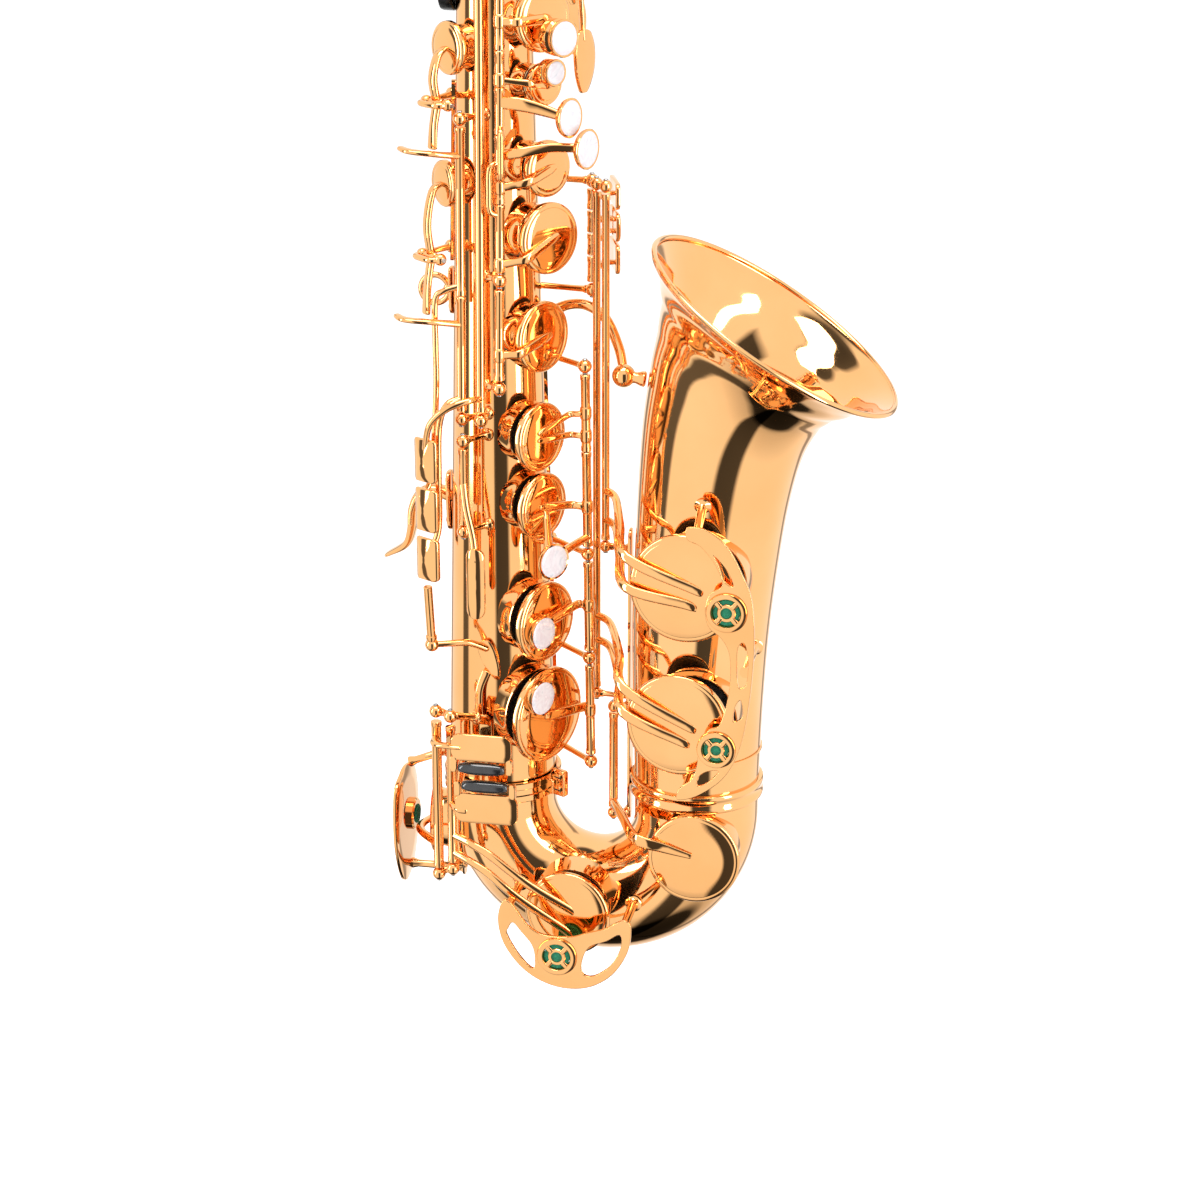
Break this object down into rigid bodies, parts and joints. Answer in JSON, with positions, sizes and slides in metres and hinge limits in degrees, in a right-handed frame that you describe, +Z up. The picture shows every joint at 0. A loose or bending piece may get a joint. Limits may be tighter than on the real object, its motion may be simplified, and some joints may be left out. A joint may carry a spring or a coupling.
{
  "type": "alto saxophone",
  "caption": "Alto saxophone with a detachable neck, flared bell, hinged pad cups on long rods, side and palm levers, rollers, guards and a mouthpiece with its reed.",
  "frame": {"origin": "middle of the strap ring on the back of the body tube", "axes": "+Z up along the body tube towards the neck, +X from the body tube towards the bell, -Y the player's right-hand side, where the large pad cups face"},
  "size_m": [0.3837, 0.1212, 0.6222],
  "materials": {
    "gold_lacquer": "gold lacquer, polished",
    "blued_steel": "plain steel rod",
    "black_ebonite": "polished",
    "black_resin": "satin",
    "cork": "bare cork",
    "cane": "bare cane"
  },
  "bodies": {
    "body": {"body_tube": "gold_lacquer", "bow": "gold_lacquer", "bell": "gold_lacquer", "bow_clamp_ring": "gold_lacquer", "bell_brace": "gold_lacquer", "neck_receiver": "gold_lacquer", "main_rib": "gold_lacquer", "upper_stack_rod": "blued_steel", "lower_stack_rib": "gold_lacquer", "lower_stack_rod": "blued_steel", "table_rib": "gold_lacquer", "bell_key_posts": "gold_lacquer", "low_key_posts": "gold_lacquer", "palm_rib": "gold_lacquer", "octave_rib": "gold_lacquer", "side_rib": "gold_lacquer", "bell_key_guard": "gold_lacquer", "low_c_guard": "gold_lacquer", "low_eb_guard": "gold_lacquer", "strap_ring": "gold_lacquer", "thumb_hook": "gold_lacquer", "thumb_rest": "black_resin"},
    "neck": {"neck_tube": "gold_lacquer", "neck_cork": "cork"},
    "neck_screw": {"neck_screw": "gold_lacquer"},
    "mouthpiece": {"mouthpiece": "black_ebonite", "reed": "cane", "ligature": "gold_lacquer"},
    "neck_octave_key": {"neck_octave_key": "gold_lacquer"},
    "key_c": {"key_c": "gold_lacquer"},
    "key_b": {"key_b": "gold_lacquer"},
    "key_bis": {"key_bis": "gold_lacquer"},
    "key_a": {"key_a": "gold_lacquer"},
    "key_g": {"key_g": "gold_lacquer"},
    "key_g_sharp": {"key_g_sharp": "gold_lacquer"},
    "key_f_sharp": {"key_f_sharp": "gold_lacquer"},
    "key_f": {"key_f": "gold_lacquer"},
    "key_e": {"key_e": "gold_lacquer"},
    "key_d": {"key_d": "gold_lacquer"},
    "key_low_eb": {"key_low_eb": "gold_lacquer"},
    "key_low_c": {"key_low_c": "gold_lacquer"},
    "roller_low_eb": {"roller_low_eb": "black_ebonite"},
    "roller_low_c": {"roller_low_c": "black_ebonite"},
    "key_low_c_sharp": {"key_low_c_sharp": "gold_lacquer"},
    "key_low_bb": {"key_low_bb": "gold_lacquer"},
    "key_low_b": {"key_low_b": "gold_lacquer"},
    "touch_g_sharp": {"touch_g_sharp": "gold_lacquer"},
    "touch_c_sharp": {"touch_c_sharp": "gold_lacquer"},
    "touch_b": {"touch_b": "gold_lacquer"},
    "touch_bb": {"touch_bb": "gold_lacquer"},
    "key_side_e": {"key_side_e": "gold_lacquer"},
    "key_side_bb": {"key_side_bb": "gold_lacquer"},
    "key_side_c": {"key_side_c": "gold_lacquer"},
    "key_high_f_sharp": {"key_high_f_sharp": "gold_lacquer"},
    "cup_side_c": {"cup_side_c": "gold_lacquer"},
    "cup_side_bb": {"cup_side_bb": "gold_lacquer"},
    "key_palm_d": {"key_palm_d": "gold_lacquer"},
    "key_palm_eb": {"key_palm_eb": "gold_lacquer"},
    "key_palm_f": {"key_palm_f": "gold_lacquer"},
    "key_octave": {"key_octave": "gold_lacquer"}
  },
  "joints": [
    {"name": "neck_turn", "type": "hinge", "parent": "body", "child": "neck", "pos_m": [0.0268, 0, 0.244], "axis": [0, 0, 1], "range_deg": [-25, 25]},
    {"name": "neck_screw_turn", "type": "hinge", "parent": "body", "child": "neck_screw", "pos_m": [0.0318, 0.0176, 0.245], "axis": [1, 0, 0], "continuous": true},
    {"name": "mouthpiece_slide", "type": "slide", "parent": "neck", "child": "mouthpiece", "axis": [-0.9466, 0, -0.3223], "range_m": [-0.009, 0.009]},
    {"name": "neck_octave_hinge", "type": "hinge", "parent": "neck", "child": "neck_octave_key", "pos_m": [-0.0312, 0, 0.3226], "axis": [0, 1, 0], "range_deg": [-2.4, 0], "stiffness_Nm_per_rad": 0.05, "springref_deg": 17.19},
    {"name": "key_c_hinge", "type": "hinge", "parent": "body", "child": "key_c", "pos_m": [0.034, -0.027, 0.004], "axis": [0.0042, 0.0279, 0.9996], "range_deg": [0, 11.5]},
    {"name": "key_b_hinge", "type": "hinge", "parent": "body", "child": "key_b", "pos_m": [0.034, -0.027, 0.004], "axis": [0.0042, 0.0279, 0.9996], "range_deg": [0, 11.5], "stiffness_Nm_per_rad": 0.04, "springref_deg": -14.32},
    {"name": "key_bis_hinge", "type": "hinge", "parent": "body", "child": "key_bis", "pos_m": [0.034, -0.027, 0.004], "axis": [0.0042, 0.0279, 0.9996], "range_deg": [0, 11.5], "stiffness_Nm_per_rad": 0.04, "springref_deg": -14.32},
    {"name": "key_a_hinge", "type": "hinge", "parent": "body", "child": "key_a", "pos_m": [0.034, -0.027, 0.004], "axis": [0.0042, 0.0279, 0.9996], "range_deg": [0, 11.5], "stiffness_Nm_per_rad": 0.04, "springref_deg": -14.32},
    {"name": "key_g_hinge", "type": "hinge", "parent": "body", "child": "key_g", "pos_m": [0.034, -0.027, 0.004], "axis": [0.0042, 0.0279, 0.9996], "range_deg": [0, 11.5], "stiffness_Nm_per_rad": 0.04, "springref_deg": -14.32},
    {"name": "key_g_sharp_hinge", "type": "hinge", "parent": "body", "child": "key_g_sharp", "pos_m": [0.0336, -0.0284, -0.034], "axis": [0.0071, 0.0286, 0.9996], "range_deg": [-10, 0], "stiffness_Nm_per_rad": 0.04, "springref_deg": 14.32},
    {"name": "key_f_sharp_hinge", "type": "hinge", "parent": "body", "child": "key_f_sharp", "pos_m": [0.068, -0.0085, -0.205], "axis": [-0.0136, 0, 0.9999], "range_deg": [-9.5, 0]},
    {"name": "key_f_hinge", "type": "hinge", "parent": "body", "child": "key_f", "pos_m": [0.068, -0.0085, -0.205], "axis": [-0.0136, 0, 0.9999], "range_deg": [-9.5, 0], "stiffness_Nm_per_rad": 0.05, "springref_deg": 14.32},
    {"name": "key_e_hinge", "type": "hinge", "parent": "body", "child": "key_e", "pos_m": [0.068, -0.0085, -0.205], "axis": [-0.0136, 0, 0.9999], "range_deg": [-9.5, 0], "stiffness_Nm_per_rad": 0.05, "springref_deg": 14.32},
    {"name": "key_d_hinge", "type": "hinge", "parent": "body", "child": "key_d", "pos_m": [0.068, -0.0085, -0.205], "axis": [-0.0136, 0, 0.9999], "range_deg": [-9.5, 0], "stiffness_Nm_per_rad": 0.05, "springref_deg": 14.32},
    {"name": "key_low_eb_hinge", "type": "hinge", "parent": "body", "child": "key_low_eb", "pos_m": [0.0057, -0.0351, -0.252], "axis": [0, 0, 1], "range_deg": [0, 4.5], "stiffness_Nm_per_rad": 0.08, "springref_deg": -17.19},
    {"name": "key_low_c_hinge", "type": "hinge", "parent": "body", "child": "key_low_c", "pos_m": [0.0131, -0.0397, -0.247], "axis": [0, 0, 1], "range_deg": [0, 6], "stiffness_Nm_per_rad": 0.1, "springref_deg": -17.19},
    {"name": "roller_low_eb_spin", "type": "hinge", "parent": "key_low_eb", "child": "roller_low_eb", "pos_m": [0.0281, -0.0466, -0.1963], "axis": [1, 0, 0], "continuous": true},
    {"name": "roller_low_c_spin", "type": "hinge", "parent": "key_low_c", "child": "roller_low_c", "pos_m": [0.0294, -0.0466, -0.2044], "axis": [1, 0, 0], "continuous": true},
    {"name": "key_low_c_sharp_hinge", "type": "hinge", "parent": "body", "child": "key_low_c_sharp", "pos_m": [0.0773, -0.005, -0.23], "axis": [0, 0, 1], "range_deg": [-6, 0], "stiffness_Nm_per_rad": 0.1, "springref_deg": 17.19},
    {"name": "key_low_bb_hinge", "type": "hinge", "parent": "body", "child": "key_low_bb", "pos_m": [0.0727, 0.0002, -0.109], "axis": [0, 0, 1], "range_deg": [0, 5.6], "stiffness_Nm_per_rad": 0.12, "springref_deg": -17.19},
    {"name": "key_low_b_hinge", "type": "hinge", "parent": "body", "child": "key_low_b", "pos_m": [0.068, 0.0046, -0.178], "axis": [0, 0, 1], "range_deg": [0, 5.6], "stiffness_Nm_per_rad": 0.12, "springref_deg": -17.19},
    {"name": "touch_g_sharp_hinge", "type": "hinge", "parent": "body", "child": "touch_g_sharp", "pos_m": [0.0648, 0.011, 0], "axis": [0, 0, 1], "range_deg": [0, 8]},
    {"name": "touch_c_sharp_hinge", "type": "hinge", "parent": "body", "child": "touch_c_sharp", "pos_m": [0.0648, 0.011, 0], "axis": [0, 0, 1], "range_deg": [0, 8]},
    {"name": "touch_b_hinge", "type": "hinge", "parent": "body", "child": "touch_b", "pos_m": [0.0648, 0.011, 0], "axis": [0, 0, 1], "range_deg": [0, 8]},
    {"name": "touch_bb_hinge", "type": "hinge", "parent": "body", "child": "touch_bb", "pos_m": [0.0648, 0.011, 0], "axis": [0, 0, 1], "range_deg": [0, 8]},
    {"name": "key_side_e_hinge", "type": "hinge", "parent": "body", "child": "key_side_e", "pos_m": [0.0256, -0.0284, -0.048], "axis": [0.0032, 0.0264, 0.9996], "range_deg": [-6, 0], "stiffness_Nm_per_rad": 0.05, "springref_deg": 14.32},
    {"name": "key_side_bb_hinge", "type": "hinge", "parent": "body", "child": "key_side_bb", "pos_m": [0.0172, -0.0276, -0.048], "axis": [0.0048, 0.0242, 0.9997], "range_deg": [-6.5, 0], "stiffness_Nm_per_rad": 0.05, "springref_deg": 14.32},
    {"name": "key_side_c_hinge", "type": "hinge", "parent": "body", "child": "key_side_c", "pos_m": [0.0172, -0.0276, -0.048], "axis": [0.0048, 0.0242, 0.9997], "range_deg": [-6.5, 0], "stiffness_Nm_per_rad": 0.05, "springref_deg": 14.32},
    {"name": "key_high_f_sharp_hinge", "type": "hinge", "parent": "body", "child": "key_high_f_sharp", "pos_m": [0.0188, -0.0335, -0.095], "axis": [0, 0.0256, 0.9997], "range_deg": [0, 8], "stiffness_Nm_per_rad": 0.04, "springref_deg": -14.32},
    {"name": "cup_side_c_rocker", "type": "hinge", "parent": "body", "child": "cup_side_c", "pos_m": [0.0087, -0.02491, 0.082], "axis": [0.809, -0.5878, 0], "range_deg": [0, 8]},
    {"name": "cup_side_bb_rocker", "type": "hinge", "parent": "body", "child": "cup_side_bb", "pos_m": [0.00476, -0.02363, 0.019], "axis": [0.7314, -0.682, 0], "range_deg": [0, 8]},
    {"name": "key_palm_d_hinge", "type": "hinge", "parent": "body", "child": "key_palm_d", "pos_m": [0.0276, 0.026, 0.13], "axis": [0, -0.0111, 0.9999], "range_deg": [-10, 0], "stiffness_Nm_per_rad": 0.04, "springref_deg": 14.32},
    {"name": "key_palm_eb_hinge", "type": "hinge", "parent": "body", "child": "key_palm_eb", "pos_m": [0.0338, 0.025, 0.13], "axis": [0, -0.0129, 0.9999], "range_deg": [-10, 0], "stiffness_Nm_per_rad": 0.04, "springref_deg": 14.32},
    {"name": "key_palm_f_hinge", "type": "hinge", "parent": "body", "child": "key_palm_f", "pos_m": [0.0396, 0.0222, 0.13], "axis": [-0.0023, -0.0136, 0.9999], "range_deg": [-10, 0], "stiffness_Nm_per_rad": 0.04, "springref_deg": 14.32},
    {"name": "key_octave_hinge", "type": "hinge", "parent": "body", "child": "key_octave", "pos_m": [0.0048, 0.0145, 0.14], "axis": [0.0094, -0.0109, 0.9999], "range_deg": [0, 8], "stiffness_Nm_per_rad": 0.04, "springref_deg": -14.32}
  ],
  "couplings": [
    {"joint": "key_c_hinge", "follows": "key_b_hinge", "ratio": 1},
    {"joint": "key_f_sharp_hinge", "follows": "key_f_hinge", "ratio": 1},
    {"joint": "cup_side_c_rocker", "follows": "key_side_c_hinge", "ratio": -1.2},
    {"joint": "cup_side_bb_rocker", "follows": "key_side_bb_hinge", "ratio": -1.2},
    {"joint": "touch_g_sharp_hinge", "follows": "key_g_sharp_hinge", "ratio": -0.8},
    {"joint": "touch_c_sharp_hinge", "follows": "key_low_c_sharp_hinge", "ratio": -1.3},
    {"joint": "touch_b_hinge", "follows": "key_low_b_hinge", "ratio": 1.4},
    {"joint": "touch_bb_hinge", "follows": "key_low_bb_hinge", "ratio": 1.4}
  ]
}
